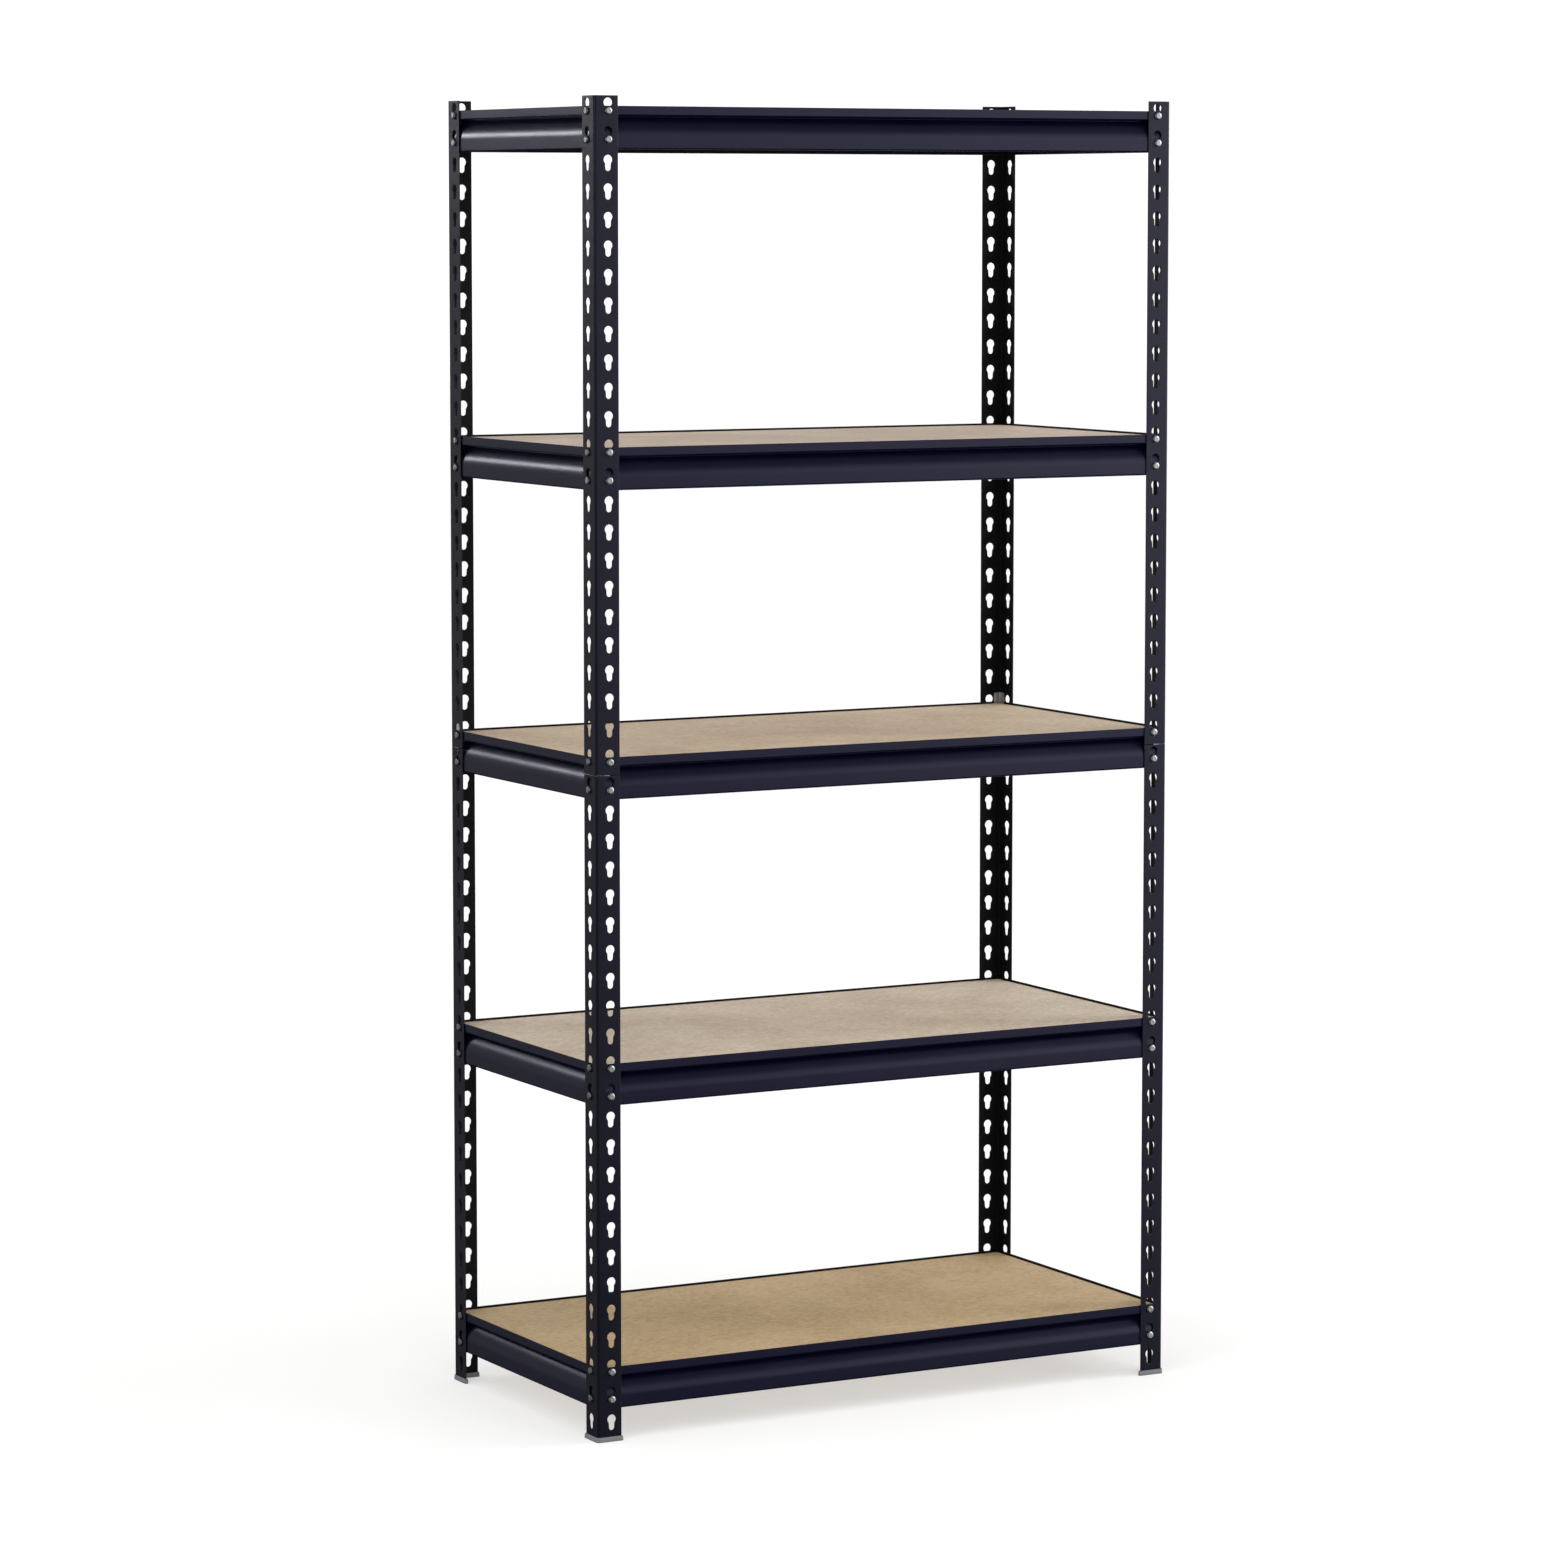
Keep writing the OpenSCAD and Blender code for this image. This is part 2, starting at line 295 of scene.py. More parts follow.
# %% The worn edge
def worn_edge():
    """Thin coat that turns to bare steel where the noise is high, 4 to 15 mm at a time."""
    material, place = new_material("powder-coated steel, worn edge")
    rub = noise(material, place, 110.0, 5.0, 0.65)
    bare = remap(material, rub, (0.62, 0.70), (0.0, 0.8))
    thin = between(material, rub, linear("#15151f"), linear("#2c2c38"))
    colour = between(material, bare, thin, linear("#8b8e94"))
    shader = add_node(material, "ShaderNodeBsdfPrincipled", {
        "Base Color": colour, "Roughness": 0.36, "Metallic": bare})
    return show(material, shader)


edge_of_coat = worn_edge()

# %% [markdown]
# ## Painted shade inside the folds
# The insides of posts and beams get a thin, near-black film with hardly any gloss. This is painted
# shade: the darkness these inner faces fall into is drawn into their colour rather than left to the
# light.

# %% The inside of the folds
def painted_shade_film():
    """Near-black painted shade for the insides of the folds, with a soft mottle 10 mm across and
    less than a third of the outer coat's gloss.
    """
    material, place = new_material("powder-coated steel, inside, painted shade")
    mottle = noise(material, place, 100.0, 5.0, 0.6)
    colour = between(material, mottle, linear("#07070a"), linear("#15151b"))
    grit = relief(material, noise(material, place, 700.0, 1.0), 0.2, 0.1 * MM)
    shader = add_node(material, "ShaderNodeBsdfPrincipled", {
        "Base Color": colour, "Roughness": 0.6, "IOR": 1.5, "Specular IOR Level": 0.15,
        "Normal": grit})
    return show(material, shader)


painted_shade_inside_folds = painted_shade_film()

# %% [markdown]
# ## Zinc-plated steel
# Rivets and couplers are barrel plated with bright zinc and passivated. Tumbling against each
# other leaves a soft, slightly mottled shine with tiny dents. Fully metallic, pale blue-grey.

# %% The zinc
def zinc_plate():
    """Metal whose colour and roughness drift with noise, 3 mm and 0.8 mm across."""
    material, place = new_material("zinc-plated steel")
    cloud = noise(material, place, 330.0, 3.0, 0.6)
    colour = between(material, cloud, linear("#b4b6ba"), linear("#dfe1e4"))
    rough = remap(material, cloud, (0.3, 0.7), (0.56, 0.46))
    dents = relief(material, noise(material, place, 1200.0, 1.0), 0.1, 0.1 * MM)
    shader = add_node(material, "ShaderNodeBsdfPrincipled", {
        "Base Color": colour, "Metallic": 1.0, "Roughness": rough, "Normal": dents})
    return show(material, shader)


zinc = zinc_plate()

# %% [markdown]
# ## Moulded plastic
# The feet are injection-moulded polyethylene, grey, with the fine matt texture of the mould, and
# darker in patches in the lowest millimetres. Plastic isn't metallic, its IOR is 1.5.
# The mould's texture, about 0.3 mm, is drawn at 1 mm so that it shows.

# %% The plastic
def moulded_plastic():
    """Grey plastic, darker where the height above the floor is under 2 mm."""
    material, place = new_material("moulded polyethylene")
    cloud = noise(material, place, 70.0, 4.0, 0.6)
    grey = between(material, cloud, linear("#66676c"), linear("#7d7e83"))
    height = add_node(material, "ShaderNodeSeparateXYZ", {0: place}).outputs[2]
    # Patches of the lowest 2.4 mm are drawn darker.
    darker_near_floor = remap(material, height, (0.2 * MM, 2.4 * MM), (0.55, 0.0))
    darker_near_floor = calculate(material, "MULTIPLY", darker_near_floor, cloud)
    colour = between(material, darker_near_floor, grey, linear("#3b3936"))
    texture = relief(material, noise(material, place, 900.0, 2.0), 0.25, 0.1 * MM)
    shader = add_node(material, "ShaderNodeBsdfPrincipled", {
        "Base Color": colour, "Roughness": 0.55, "IOR": 1.5, "Normal": texture})
    return show(material, shader)


plastic = moulded_plastic()

# %% [markdown]
# ## Particle board
# Wood chips, glued and pressed, then sanded. The face shows fine chips lying every way, darker
# bark specks, and cloudy patches about 150 mm across where the mat was thicker. Its chips are 2
# to 4 mm long, and are drawn 6 to 7 mm long so that they show. The sawn edge is darker. Two sets
# of stretched Voronoi cells at different turns make the chips, each cell with a colour of its
# own, and noise mixes them. Each board has a tone of its own, because the boards of a unit
# rarely come from one press load. Wood isn't metallic, and dry wood's IOR is about 1.45.

# %% The board's chips
def chip_set(material, place, turn, across, along):
    """A random value for each chip: Voronoi cells of across by along metres, turned by turn
    degrees about the vertical."""
    laid = add_node(material, "ShaderNodeMapping", {
        "Vector": place, "Rotation": (0.0, 0.0, math.radians(turn)),
        "Scale": (1 / along, 1 / across, 1 / across)})
    cells = add_node(material, "ShaderNodeTexVoronoi", {
        "Vector": laid.outputs[0], "Scale": 1.0, "Randomness": 1.0})
    return add_node(material, "ShaderNodeSeparateColor", {0: cells.outputs["Color"]}).outputs[0]


def particle_board(number, pale, warm):
    """Chips between the colours warm and pale, with clouds, specks and a darker sawn edge."""
    material, place = new_material(f"sanded particle board {number}")
    one = chip_set(material, place, 25 + 31 * number, 2.6 * MM, 7.0 * MM)
    two = chip_set(material, place, 115 + 31 * number, 2.2 * MM, 6.0 * MM)
    which = noise(material, place, 260.0, 2.0)
    chips = add_node(material, "ShaderNodeMix", {0: which, 2: one, 3: two}, data_type="FLOAT")
    cloud = remap(material, noise(material, place, 7.0, 3.0), (0.35, 0.65), (-0.16, 0.16))
    tone = calculate(material, "MULTIPLY_ADD", chips.outputs[0], 0.9, 0.05)
    tone = calculate(material, "ADD", tone, cloud, clamp=True)
    face = between(material, tone, linear(warm), linear(pale))
    speck = remap(material, noise(material, place, 480.0, 2.0), (0.66, 0.74), (0.0, 0.5))
    face = between(material, speck, face, linear("#7a6245"))
    facing = add_node(material, "ShaderNodeNewGeometry").outputs["Normal"]
    upward = add_node(material, "ShaderNodeSeparateXYZ", {0: facing}).outputs[2]
    sawn = remap(material, calculate(material, "ABSOLUTE", upward), (0.3, 0.8), (0.6, 0.0))
    colour = between(material, sawn, face, linear("#7d6648"))
    fibres = relief(material, chips.outputs[0], 0.3, 0.2 * MM)
    shader = add_node(material, "ShaderNodeBsdfPrincipled", {
        "Base Color": colour, "Roughness": 0.72, "IOR": 1.45, "Normal": fibres})
    return show(material, shader)


board_tones = {
    1: ("#c6ae89", "#a3895f"), 2: ("#d6c9b7", "#ae9c87"), 3: ("#d4c2aa", "#ac967b"),
    4: ("#d6c7b7", "#b1a08e"), 5: ("#d6c9b7", "#ae9c87")}
board_faces = {k: particle_board(k, *tones) for k, tones in board_tones.items()}

# %% [markdown]
# ## The line of a folded sheet
# A brake or a roll former bends flat sheet along parallel lines. Its section is a chain of
# straight runs and arcs, so it is walked like a turtle's path: ahead by the run, round by the
# turn. The line is the sheet's outer face, and a quarter bend takes nine short steps.

# %% Walk round the folds
def folded_line(folds, start, heading, step=10.0):
    """Points along a folded sheet's outer face. A fold is (straight run, turn in degrees, outer
    radius), and a positive turn is to the left. An arc's points are its centre plus the radius
    times the unit vector at each angle."""
    at, line = np.array(start, float), [np.array([start], float)]
    for run, turn, radius in folds:
        ahead = math.radians(heading)
        at = at + run * np.array([math.cos(ahead), math.sin(ahead)])
        if turn == 0:
            line.append(at[None])
            continue
        side = math.copysign(90, turn)
        to_centre = math.radians(heading + side)
        centre = at + radius * np.array([math.cos(to_centre), math.sin(to_centre)])
        count = max(2, round(abs(turn) / step) + 1)
        angles = np.radians(heading + np.linspace(0, turn, count) - side)
        line.append(centre + radius * np.stack([np.cos(angles), np.sin(angles)], axis=-1))
        at, heading = line[-1][-1], heading + turn
    return np.concatenate(line)


def turned(points, quarter_turns):
    """Points turned about the vertical axis by that many quarter turns to the left."""
    angle = quarter_turns * math.pi / 2
    c, s = round(math.cos(angle)), round(math.sin(angle))
    return points @ np.array([[c, s, 0], [-s, c, 0], [0, 0, 1]], float)


print("a quarter bend has", len(folded_line([(0, 90, 1)], (0, 0), 0)) - 1, "points")

# %% [markdown]
# ## Posts
# A post is a steel strip, punched with keyholes and then folded along its middle, in two halves.
# The pitch is the trade's 1.5 in, so that any level can hang at any height. A boolean cut would
# leave long slivers of faces, so each flange is built hole by hole instead: one cell a keyhole,
# with rays that run from the keyhole's outline to the cell's rim. The cells meet rim to rim.

# %% The punched keyhole
SHEET_OF_POST = 1.5 * MM
FLANGE = 36 * MM
BEND = 3 * MM  # outer radius down the corner
BEND_POINTS = 10
HOLE_INSET = 21 * MM
HOLES_A_HALF = 24
PITCH = 38.1 * MM
FIRST_DROP = 9.5 * MM  # from the post's top to the middle of the first round end
ROUND_R = 6.5 * MM
SEAT_R = 4.15 * MM
SEAT_DROP = 11 * MM
THROAT_FLARE = 0.45 * MM
HUB_DROP = 4 * MM  # the rays' centre, below the middle of the round end


def keyhole_reach(angle):
    """Distance from the hub to the keyhole's outline at each angle: the farthest of where the
    ray leaves the round end, the seat and the tapered throat between them. On a circle whose
    centre is c above the hub that is c sin a + sqrt(r^2 - c^2 cos^2 a)."""
    x, z = np.cos(angle), np.sin(angle)

    def circle(c, r):
        inside = r**2 - (c * x) ** 2
        return np.where(inside > 0, c * z + np.sqrt(np.maximum(inside, 0)), 0.0)

    taper = THROAT_FLARE / SEAT_DROP
    low, high = SEAT_DROP - HUB_DROP, HUB_DROP
    side = (SEAT_R + taper * low) / np.maximum(np.abs(x) - taper * z, 1e-6)
    end = np.where(z > 0, high, low) / np.maximum(np.abs(z), 1e-6)
    return np.maximum.reduce([circle(HUB_DROP, ROUND_R), circle(HUB_DROP - SEAT_DROP, SEAT_R),
                              np.minimum(side, end)])


keyhole_height = keyhole_reach(np.pi / 2) + keyhole_reach(-np.pi / 2)
print("keyhole height in mm:", round(keyhole_height / MM, 2))

# %% A flange of cells
RAYS_A_SIDE = 11
MIDDLE_RING = 0.3  # share of the way from the outline to the rim


def flange_cells(hole_heights, rims):
    """Points of all cells of a flange, as (cell, ring, ray, 3). The rim is the cell's rectangle,
    RAYS_A_SIDE points a side, and the first ring is the outline in the rim points' directions
    from the hub. The middle ring keeps the long faces from pinching."""
    s = np.arange(RAYS_A_SIDE) / RAYS_A_SIDE
    low, high = rims[:-1, None], rims[1:, None]
    across = FLANGE - BEND
    one = np.ones_like(low)
    x = np.concatenate([(BEND + across * s) * one, FLANGE * one * np.ones_like(s),
                        (FLANGE - across * s) * one, BEND * one * np.ones_like(s)], axis=1)
    z = np.concatenate([low * np.ones_like(s), low + (high - low) * s,
                        high * np.ones_like(s), high - (high - low) * s], axis=1)
    hub = hole_heights[:, None] - HUB_DROP
    angle = np.arctan2(z - hub, x - HOLE_INSET)
    reach = keyhole_reach(angle)
    outline = np.stack([HOLE_INSET + reach * np.cos(angle), hub + reach * np.sin(angle)], axis=-1)
    rim = np.stack([x, z], axis=-1)
    rings = np.stack([outline, outline + MIDDLE_RING * (rim - outline), rim], axis=1)
    return np.stack([rings[..., 0], np.zeros(rings.shape[:3]), rings[..., 1]], axis=-1)


# %% Half a post
def half_post(hole_heights, low, high):
    """Both flanges and the bend between them, the post's corner at the origin and its flanges
    along X and Y. The bend is a quarter circle times the heights of the cells' rim points."""
    solid_gap = PITCH - ROUND_R - SEAT_DROP - SEAT_R
    rims = np.concatenate([[low], hole_heights[:-1] + ROUND_R + solid_gap / 2, [high]])
    cells = flange_cells(hole_heights, rims)
    count, rings, rays = cells.shape[:3]
    ring_faces = grid_faces(rings, rays, closed=True)
    faces = (ring_faces[None] + (np.arange(count) * rings * rays)[:, None, None]).reshape(-1, 4)
    heights = np.concatenate([
        (rims[:-1, None] + np.diff(rims)[:, None] * np.arange(RAYS_A_SIDE) / RAYS_A_SIDE).ravel(),
        [high]])
    arc = np.radians(np.linspace(-90, -180, BEND_POINTS))
    bend = np.stack(np.broadcast_arrays(BEND + BEND * np.cos(arc)[:, None],
                                        BEND + BEND * np.sin(arc)[:, None], heights[None]), axis=-1)
    return [(cells, faces[:, ::-1]), (cells[..., [1, 0, 2]], faces),
            (bend, grid_faces(len(arc), len(heights)))]


all_holes = post_top - FIRST_DROP - PITCH * np.arange(2 * HOLES_A_HALF - 1, -1, -1)
halves = {"lower": half_post(all_holes[:HOLES_A_HALF], post_foot, joint_low),
          "upper": half_post(all_holes[HOLES_A_HALF:], joint_high, post_top)}
print("points in half a post before merging:", sum(p.size // 3 for p, _ in halves["lower"]))

# %% Stand the posts at the corners
corner_at = np.array([[-1, -1, 0], [1, -1, 0], [1, 1, 0], [-1, 1, 0]]) * [width / 2, depth / 2, 0]


def at_corner(points, quarter):
    """Points drawn at the origin's corner, turned and moved to the unit's corner."""
    return turned(np.asarray(points, float).reshape(-1, 3), quarter) + corner_at[quarter]


for quarter, corner in enumerate(CORNERS):
    for half, parts in halves.items():
        # The third material paints shade onto the posts' inner faces.
        post = make_piece(f"post_{half}_{corner}",
                          [(at_corner(points, quarter), faces) for points, faces in parts],
                          "frame", [coat_on_posts, edge_of_coat, painted_shade_inside_folds])
        finish_edges(post, CUT_EDGE, sheet=SHEET_OF_POST, edge_material=1, inner_material=2)
print("posts made:", 2 * len(CORNERS), "halves of", len(post.data.polygons), "faces")

# %% [markdown]
# ## Beams
# A beam is roll formed from one strip: a lip that hides the board's edge, a ledge under the
# board, a web that slopes back out into a wide sweep, the lower band, and a hem. The section is
# carried straight along the side. At a corner two ledges would meet, so the ends are mitred: the
# deeper a point of the section lies, the shorter its line is.

# %% The beam's section
SHEET_OF_BEAM = 1.2 * MM
TIGHT = 2.4 * MM  # outer radius of the tight folds
LIP = 13.4 * MM
LEDGE = 12 * MM
WEB_RUN = 6 * MM  # straight stretch of the web, before the sweep
BAND_DROP = 41.2 * MM  # from the upper edge to the top of the lower band
BEAM_HEIGHT = 58 * MM
HEM = 6 * MM
BEAM_INSET = 1.8 * MM  # from the unit's side to the beam's face
BEAM_END = 14.5 * MM
MITRE_GAP = 2 * MM

# The web's straight run touches the tight fold behind the ledge and the wide sweep that ends at
# the band. It stands square on the sum of the two radii, which gives the sweep's radius and turn.
fold_r = TIGHT / 2
fold_in = LEDGE - SHEET_OF_BEAM - fold_r
fold_to_band = BAND_DROP - LIP - fold_r
sweep_r = (fold_in**2 + fold_to_band**2 - fold_r**2 - WEB_RUN**2) / (2 * (fold_in + fold_r))
sweep_turn = math.degrees(math.atan2(fold_to_band, sweep_r - fold_in)
                          - math.atan2(WEB_RUN, sweep_r + fold_r))
section = folded_line([
    (LIP - TIGHT, 90, TIGHT),
    (fold_in - TIGHT, -90 - sweep_turn, fold_r),
    (WEB_RUN, sweep_turn, sweep_r),
    (BEAM_HEIGHT - BAND_DROP - TIGHT, 90, TIGHT),
    (HEM - TIGHT, 0, 0)], start=(0, 0), heading=-90, step=5)
print("section:", len(section), "points,", np.round(np.ptp(section, axis=0) / MM, 2), "mm")

# %% Carry it along each side
def beam_surface(side, top):
    """Grid of section points by the two ends. An end is at half the side's length less the end
    gap, or, deeper in, less the depth and the mitre's gap."""
    half, reach = side_length[side] / 2, side_reach[side]
    inward = BEAM_INSET + section[:, 0]
    end = np.minimum(half - BEAM_END, half - MITRE_GAP / math.sqrt(2) - inward)
    along = np.stack([-end, end], axis=-1)
    back = np.repeat((inward - reach)[:, None], 2, axis=1)
    up = np.repeat((top + section[:, 1])[:, None], 2, axis=1)
    return np.stack([along, back, up], axis=-1)


for k in LEVELS:
    for quarter, side in enumerate(SIDES):
        points = turned(beam_surface(side, level_top[k]).reshape(-1, 3), quarter)
        # The third material paints shade onto the beams' inner faces.
        beam = make_piece(f"beam_{side}_level_{k}",
                          [(points, grid_faces(len(section), 2)[:, ::-1])],
                          f"level_{k}", [coat_on_beams, edge_of_coat, painted_shade_inside_folds])
        finish_edges(beam, CUT_EDGE, sheet=SHEET_OF_BEAM, edge_material=1, inner_material=2)
print("beams made:", len(LEVELS) * len(SIDES))

# %% [markdown]
# ## Carrying a profile round a closed path
# Rivets, boards and feet are closed solids. Each is a profile of steps out and up, carried round
# a closed path: a circle for the rivet, a rectangle with round corners for the board, an angle
# for the foot. The first and the last row are closed with one flat face each.

# %% Carry and close
def carried(path, outward, profile):
    """Point (i, j) is path point j, moved along its outward direction by the first number of
    profile row i, at the height of the second. Seen from above the path runs to the left."""
    flat = path[None] + profile[:, 0, None, None] * outward[None]
    height = np.broadcast_to(profile[:, 1, None, None], (*flat.shape[:2], 1))
    points = np.concatenate([flat, height], axis=-1)
    rows, columns = points.shape[:2]
    faces = grid_faces(rows, columns, closed=True).tolist()
    faces.append(np.arange(columns)[::-1].tolist())
    faces.append(((rows - 1) * columns + np.arange(columns)).tolist())
    return points.reshape(-1, 3), faces


def quarter_round(out, up, r, start, steps=4):
    """A profile's rounded corner: centre (out, up), radius r, a quarter turn left from start."""
    a = np.radians(np.linspace(start, start + 90, steps))
    return np.stack([out + r * np.cos(a), up + r * np.sin(a)], axis=-1)


circle_way = np.radians(np.arange(0, 360, ARC_STEP))
circle_out = np.stack([np.cos(circle_way), np.sin(circle_way)], axis=-1)
print("a rivet has", len(circle_way), "sides")

# %% [markdown]
# ## Shouldered rivets
# A rivet is cold headed: a domed head with a shallow dish that the tool leaves on its flat, a
# shank that sits in the keyhole, a shoulder against the beam and a neck that is spread inside
# the beam. A level has sixteen, two at each end of each beam, and they are one piece, as in the
# CAD model, because they never move against each other.

# %% One rivet
TAIL_R = 3.5 * MM
TAIL_THICK = 1 * MM
TAIL_ROUND = 0.4 * MM
NECK_R = 2.6 * MM
SHANK_R = 3.5 * MM
HEAD_R = 5.5 * MM
HEAD_ROUND = 0.2 * MM
HEAD_HEIGHT = 2.6 * MM
HEAD_RIM = 0.8 * MM
FLAT_R = 2.5 * MM
DISH_R = 2.1 * MM
DISH = 0.25 * MM
HANG_GAP = 0.3 * MM  # from the post's face to the head

inside = -BEAM_INSET - SHEET_OF_BEAM
dome_way = np.radians(np.linspace(0, 90, 6))
dome = np.stack([FLAT_R + (HEAD_R - FLAT_R) * np.cos(dome_way),
                 HANG_GAP + HEAD_RIM + (HEAD_HEIGHT - HEAD_RIM) * np.sin(dome_way)], axis=-1)
rivet_profile = np.concatenate([
    [[TAIL_R - TAIL_ROUND, inside - TAIL_THICK], [TAIL_R, inside - TAIL_THICK + TAIL_ROUND],
     [TAIL_R, inside], [NECK_R, inside], [NECK_R, -BEAM_INSET], [SHANK_R, -BEAM_INSET],
     [SHANK_R, HANG_GAP], [HEAD_R - HEAD_ROUND, HANG_GAP], [HEAD_R, HANG_GAP + HEAD_ROUND]],
    dome, [[DISH_R, HANG_GAP + HEAD_HEIGHT - DISH]]])
rivet_points, rivet_faces = carried(np.zeros((len(circle_way), 2)), circle_out, rivet_profile)
rivet_lying = rivet_points[:, [0, 2, 1]] * [1, -1, 1]
print("a rivet has", len(rivet_faces), "faces")

# %% Sixteen to a level
def rivet_places(side, top):
    """Four places on a side: both ends, at half the lip's height and one pitch below."""
    x = (side_length[side] / 2 - HOLE_INSET) * np.array([-1, -1, 1, 1])
    z = top - LIP / 2 - PITCH * np.array([0, 1, 0, 1])
    return np.stack([x, np.full(4, -side_reach[side]), z], axis=-1)


for k in LEVELS:
    parts = []
    for quarter, side in enumerate(SIDES):
        for place in rivet_places(side, level_top[k]):
            parts.append((turned(rivet_lying + place, quarter), rivet_faces))
    rivets = make_piece(f"rivets_level_{k}", parts, f"level_{k}", [zinc])
    rivets.data.set_sharp_from_angle(angle=math.radians(40))
    flatten_faces(rivets, weight=60).keep_sharp = True
print("rivets made:", 16 * len(LEVELS))

# %% [markdown]
# ## Deck boards
# A board is sawn from a sheet, so its edges are square with the sharpness just broken, and its
# corners a little rounded. It lies loose on the ledges, a gap inside the lips, and its top is a
# little lower than theirs, which shows as a thin dark line all round.

# %% Boards
BOARD_CORNER = 3 * MM
BROKEN_EDGE = 0.7 * MM


def board_path(low, high):
    """A rectangle with round corners: corner centres plus the radius times the unit vector."""
    way = np.radians(np.arange(0, 360, ARC_STEP) + ARC_STEP / 2)
    out = np.stack([np.cos(way), np.sin(way)], axis=-1)
    half = np.array([high.x - low.x, high.y - low.y]) / 2 - BOARD_CORNER
    return np.sign(out) * half + BOARD_CORNER * out, out


for k in LEVELS:
    low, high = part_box(f"deck_board_level_{k}")
    path, out = board_path(low, high)
    profile = np.concatenate([
        quarter_round(-BROKEN_EDGE, low.z + BROKEN_EDGE, BROKEN_EDGE, -90),
        quarter_round(-BROKEN_EDGE, high.z - BROKEN_EDGE, BROKEN_EDGE, 0)])
    board = make_piece(f"deck_board_level_{k}", [carried(path, out, profile)], f"deck_{k}",
                       [board_faces[k]])
    flatten_faces(board)
print("boards made:", len(LEVELS), "of", np.round(np.array(high - low) / MM, 1), "mm")

# %% [markdown]
# ## Couplers
# The halves of a post are joined by a folded plate in the corner behind them. A tab of it lies
# between the halves and shows as a bright line. Plate and tab are closed prisms of an angle's
# outline, drawn from the same folded line as the posts.

# %% An angle's outline as a prism
def angle_outline(leg, thick, inset, bend=BEND):
    """The closed outline of an angle section: its outer line, then its inner line back."""
    run = leg - inset - bend
    outer = folded_line([(run, 90, bend), (run, 0, 0)], (inset, leg), -90)
    inner = folded_line([(run, 90, bend - thick), (run, 0, 0)], (inset + thick, leg), -90)
    return np.concatenate([outer, inner[::-1]])


def prism(outline, low, high):
    """The outline at two heights, closed above and below."""
    return carried(outline, np.zeros_like(outline), np.array([[0, low], [0, high]]))


PLATE_LEG, PLATE_THICK, PLATE_INSET = 13.5 * MM, 1.5 * MM, 1.6 * MM
TAB_LEG = 21 * MM
BRIDGE_LEG = 13.4 * MM  # ties the tab to the plate
BRIDGE_SHY = 0.05 * MM  # how much thinner than the tab the bridge is, above and below

plate = prism(angle_outline(PLATE_LEG, PLATE_THICK, PLATE_INSET),
              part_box("coupler_front_left")[0].z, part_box("coupler_front_left")[1].z)
tab = prism(angle_outline(TAB_LEG, SHEET_OF_POST, 0.0), joint_low, joint_high)
bridge = prism(angle_outline(BRIDGE_LEG, PLATE_INSET, 0.0), joint_low + BRIDGE_SHY,
               joint_high - BRIDGE_SHY)
for quarter, corner in enumerate(CORNERS):
    prisms = [(at_corner(points, quarter), faces) for points, faces in (plate, tab, bridge)]
    coupler = make_piece(f"coupler_{corner}", prisms, "frame", [zinc])
    finish_edges(coupler, 0.15 * MM)
print("couplers made:", len(CORNERS))

# %% [markdown]
# ## Feet
# Each post stands in a moulded cap: a base with a wall round the steel, rounded where the post is
# bent. The cap's profile runs up its outer wall, over the rim and down into the pocket, and is
# carried round the post's own outline. The wall leans in a little towards its rim, the draft that
# lets a moulding out of its tool, and Bevel rounds the moulded edges.

# %% Feet
FOOT_BASE = 2.4 * MM
FOOT_WALL = 1.8 * MM
FOOT_GAP = 0.1 * MM
FOOT_DRAFT = 0.5 * MM
foot_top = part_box("foot_front_left")[1].z
near, thick, far = -FOOT_GAP, SHEET_OF_POST + FOOT_GAP, FLANGE + FOOT_GAP
heel_way = np.radians(np.linspace(-90, -180, BEND_POINTS))
heel_out = np.stack([np.cos(heel_way), np.sin(heel_way)], axis=-1)
pocket = np.concatenate([[[far, thick], [thick, thick], [thick, far], [near, far]],
                         (near + BEND + BEND * heel_out)[::-1], [[far, near]]])
pocket_out = np.concatenate([[[1, 1], [1, 1], [1, 1], [-1, 1]], heel_out[::-1], [[1, -1]]])
foot_profile = np.array([
    [FOOT_WALL, 0], [FOOT_WALL, FOOT_BASE], [FOOT_WALL - FOOT_DRAFT, foot_top],
    [0, foot_top], [0, FOOT_BASE]])
cap = carried(pocket, pocket_out, foot_profile)
for quarter, corner in enumerate(CORNERS):
    foot = make_piece(f"foot_{corner}", [(at_corner(cap[0], quarter), cap[1])], "frame",
                      [plastic])
    finish_edges(foot, 0.5 * MM, segments=3)
print("feet made:", len(CORNERS))

# %% [markdown]
# ## Floor and light
# A plain pale floor and a white room. The room's light reaches the matt surfaces from all
# round. In gloss only its walls are bright, as in a studio with a dark floor and ceiling, so the
# blue-black coat keeps its depth. One softbox stands at the right front. One behind on the left
# has a grid in front and aims high: it draws the bright line along the left beams' sweep, which
# fades from level to level downwards. A small one at the left front lifts the left side.

# %% The floor
def floor_material():
    """Pale matt acrylic, half lit from below, so that shadows on it stay faint."""
    material, place = new_material("pale matt floor")
    cloud = noise(material, place, 1.5, 3.0)
    colour = between(material, cloud, linear("#f3f3f2"), linear("#f8f8f8"))
    paint = add_node(material, "ShaderNodeBsdfDiffuse", {"Color": colour, "Roughness": 0.6})
    glow = add_node(material, "ShaderNodeEmission", {"Color": colour, "Strength": 1.1})
    shader = add_node(material, "ShaderNodeMixShader", {
        0: 0.5, 1: paint.outputs[0], 2: glow.outputs[0]})
    return show(material, shader)


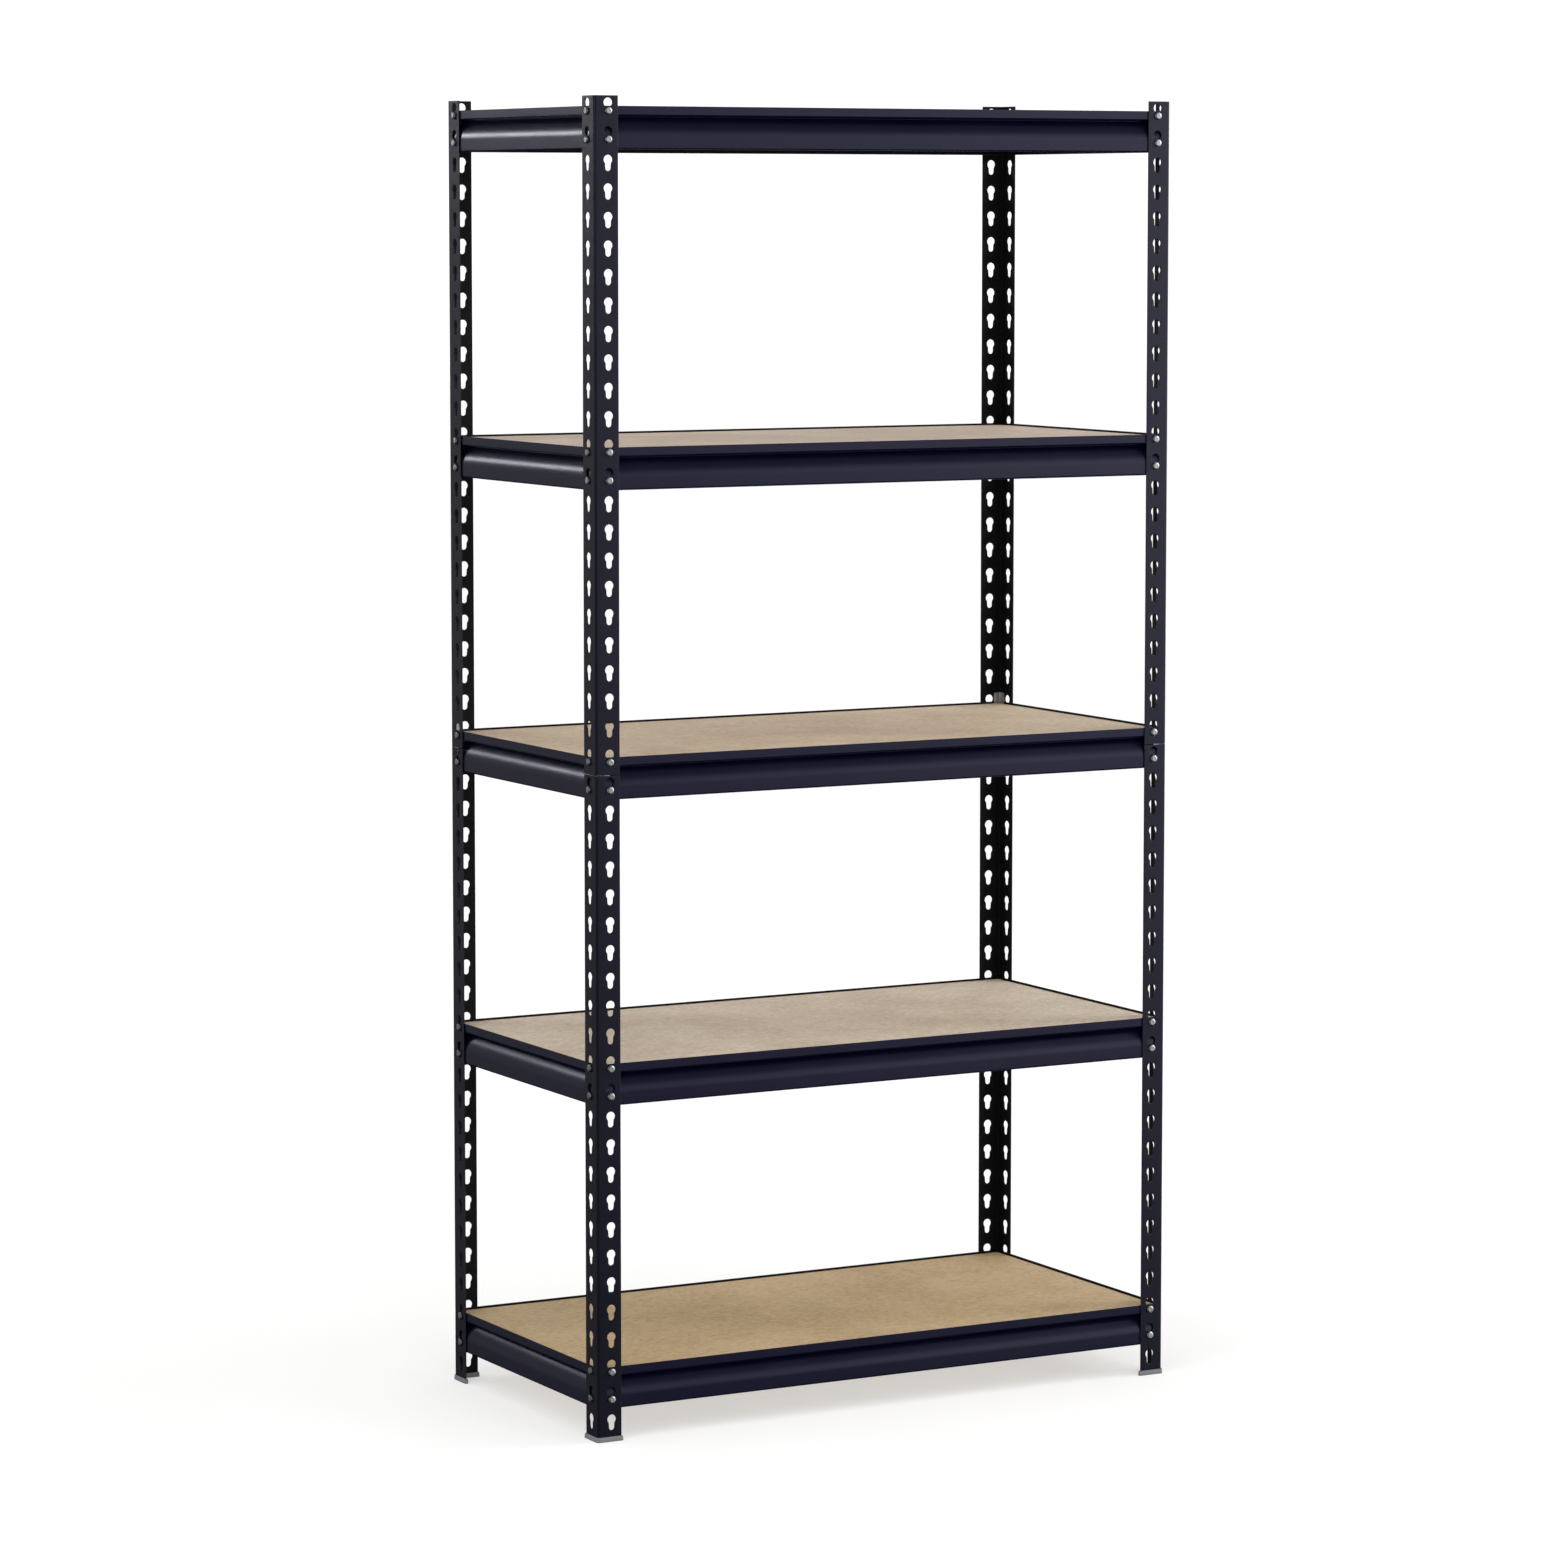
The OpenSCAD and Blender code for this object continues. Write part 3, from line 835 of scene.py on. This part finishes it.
FLOOR_REACH = 40.0  # metres from the middle to each edge
floor_mesh = bpy.data.meshes.new("studio_floor")
floor_mesh.from_pydata([(x * FLOOR_REACH, y * FLOOR_REACH, 0)
                        for x, y in ((-1, -1), (1, -1), (1, 1), (-1, 1))], [], [(0, 1, 2, 3)])
floor_mesh.materials.append(floor_material())
floor = bpy.data.objects.new("studio_floor", floor_mesh)
floor.visible_glossy = False
bpy.context.scene.collection.objects.link(floor)

# %% The room
# Directions are parts of a unit vector: toward_x is how far to the right a ray goes, and upward
# how far up. The wall in gloss grows brighter to the right, and reaches lower on the left.
ROOM_LIGHT = 1.12
LEFT_GLOSS, MIDDLE_GLOSS, RIGHT_GLOSS = 0.26, 0.4, 1.9
LEFT_FOOT, MIDDLE_FOOT, RIGHT_FOOT = -0.4, -0.18, -0.28  # where the wall's foot fades out

world = bpy.data.worlds.new("white studio")
bpy.context.scene.world = world
world.use_nodes = True
world.node_tree.nodes.clear()
toward = add_node(world, "ShaderNodeTexCoord").outputs["Generated"]
toward_x, _, upward = add_node(world, "ShaderNodeSeparateXYZ", {0: toward}).outputs
from_left = remap(world, toward_x, (-0.3, 0.44), (LEFT_GLOSS, MIDDLE_GLOSS))
lowest_left = remap(world, toward_x, (-0.3, 0.3), (LEFT_FOOT, MIDDLE_FOOT))
to_right = remap(world, toward_x, (0.44, 0.58), (0.0, 1.0), "SMOOTHSTEP")
brightest = remap(world, to_right, (0.0, 1.0), (from_left, RIGHT_GLOSS))
lowest = remap(world, to_right, (0.0, 1.0), (lowest_left, RIGHT_FOOT))
above_floor = remap(world, upward, (lowest, -0.04), (0.0, brightest), "SMOOTHSTEP")
below_ceiling = remap(world, upward, (0.12, 0.5), (1.0, 0.1), "SMOOTHSTEP")
in_gloss = calculate(world, "MULTIPLY", above_floor, below_ceiling)
ray = add_node(world, "ShaderNodeLightPath")
strength = add_node(world, "ShaderNodeMix", {
    0: ray.outputs["Is Glossy Ray"], 2: ROOM_LIGHT, 3: in_gloss}, data_type="FLOAT")
room = add_node(world, "ShaderNodeBackground", {
    "Color": linear("#ffffff"), "Strength": strength.outputs[0]})
add_node(world, "ShaderNodeOutputWorld", {"Surface": room.outputs[0]})
world.cycles.sampling_method = "NONE"
print("room: white, and in gloss a wall, brightest on the right, with a dark floor and ceiling")

# %% The softboxes
def softbox(name, place, target, size, watts, fan=180):
    """An area light of that width and height in metres, turned to face the target. fan is the
    full angle in degrees that its light spreads over, which a grid in front makes narrower."""
    light = bpy.data.lights.new(name, "AREA")
    light.shape, light.energy = "RECTANGLE", watts
    light.size, light.size_y = size
    light.spread = np.radians(fan)
    box = bpy.data.objects.new(name, light)
    box.location = place
    box.rotation_euler = (Vector(target) - Vector(place)).to_track_quat("-Z", "Y").to_euler()
    bpy.context.scene.collection.objects.link(box)
    print("softbox:", name, watts, "W")


middle = (cad_low + cad_high) / 2
softbox("softbox behind", (-3.6, 6.2, 2.9), (-0.4, 0.0, 2.2), (1.6, 0.6), 2.9, fan=44)
softbox("softbox right", (4.8, -1.6, 2.7), middle, (1.5, 1.5), 105)
softbox("softbox left", (-4.2, -2.2, 2.0), middle, (0.5, 0.5), 11)

# %% [markdown]
# ## Camera
# The eye is a little below the top level, well to the left of the unit, and far enough away for
# the uprights to stay nearly parallel. Its aim and lens come from fitting a pinhole camera to
# the keyholes' even spacing. A small downward shift keeps the posts upright.

# %% The camera
camera = bpy.data.cameras.new("camera")
camera.lens, camera.sensor_width = 122.786, 36.0
camera.shift_y = -0.0449
camera.clip_end = 100.0
yaw, pitch = 0.50115, 0.09415
aim = Vector((math.sin(yaw) * math.cos(pitch), math.cos(yaw) * math.cos(pitch), -math.sin(pitch)))
eye = bpy.data.objects.new("camera", camera)
eye.location = (-3.6807, -6.6120, 1.6817)
eye.rotation_euler = aim.to_track_quat("-Z", "Y").to_euler()
bpy.context.scene.collection.objects.link(eye)
bpy.context.scene.camera = eye
bpy.context.scene.view_settings.view_transform = "Standard"
print("camera at", tuple(round(c, 3) for c in eye.location))

# %% Finish
bpy.context.view_layer.update()
